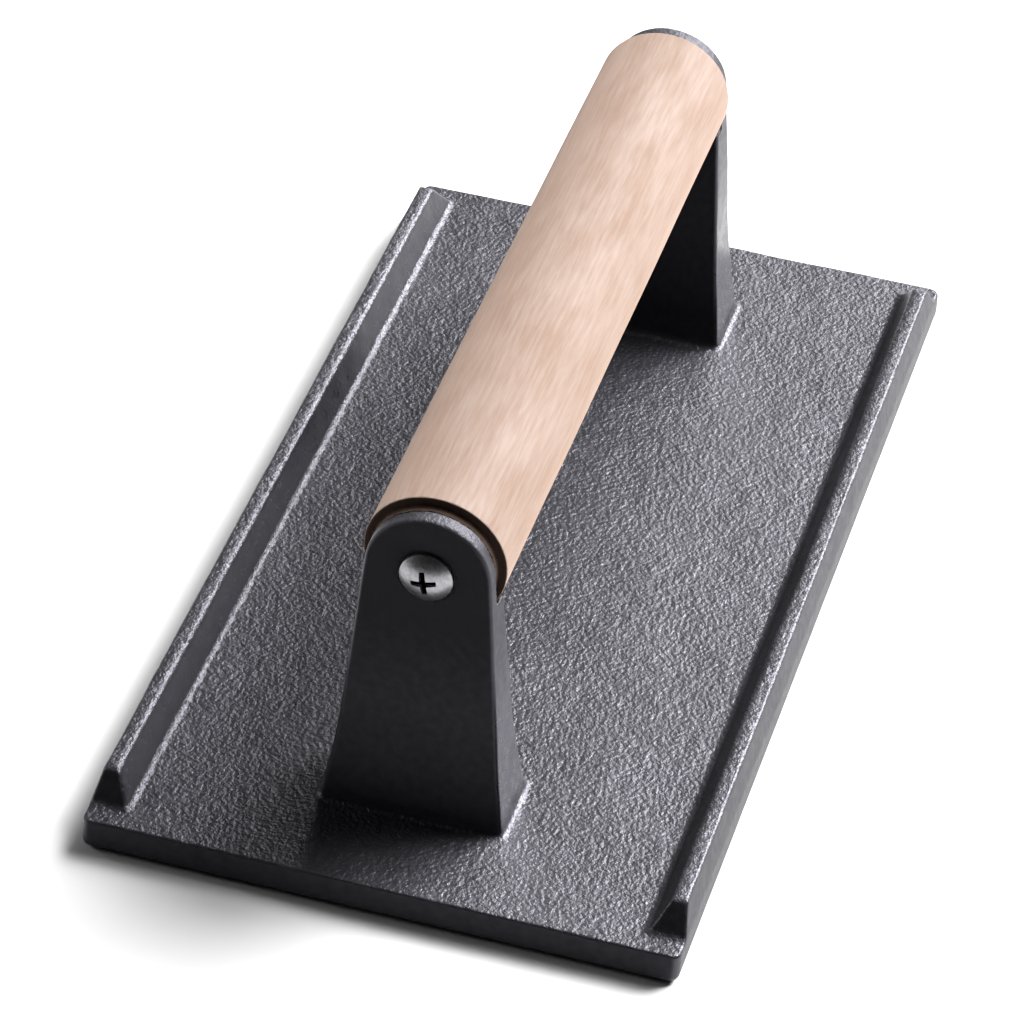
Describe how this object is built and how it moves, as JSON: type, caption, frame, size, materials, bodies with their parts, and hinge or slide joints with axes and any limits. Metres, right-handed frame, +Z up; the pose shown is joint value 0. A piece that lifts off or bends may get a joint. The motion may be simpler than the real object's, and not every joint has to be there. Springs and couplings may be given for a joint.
{
  "type": "patty press",
  "caption": "Flat iron press for burgers and sandwiches: a ribbed rectangular plate with a round wooden handle screwed between two posts.",
  "frame": {"origin": "centre of the flat cooking face under the plate, on the surface that the press rests on", "axes": "+Z up through the handle, +X along the handle and the plate's long side, +Y across the plate"},
  "size_m": [0.2108, 0.109, 0.0717],
  "materials": {
    "iron": "pre-seasoned black sand casting, fine grain on the upward faces, smoother sides",
    "beech": "pale pink-tan beech, turned and waxed, satin",
    "screw_steel": "dark phosphated steel, dull sheen"
  },
  "bodies": {
    "root": {"press_plate": "iron", "handle_rod": "beech", "screw_left": "screw_steel", "screw_right": "screw_steel"}
  },
  "joints": []
}
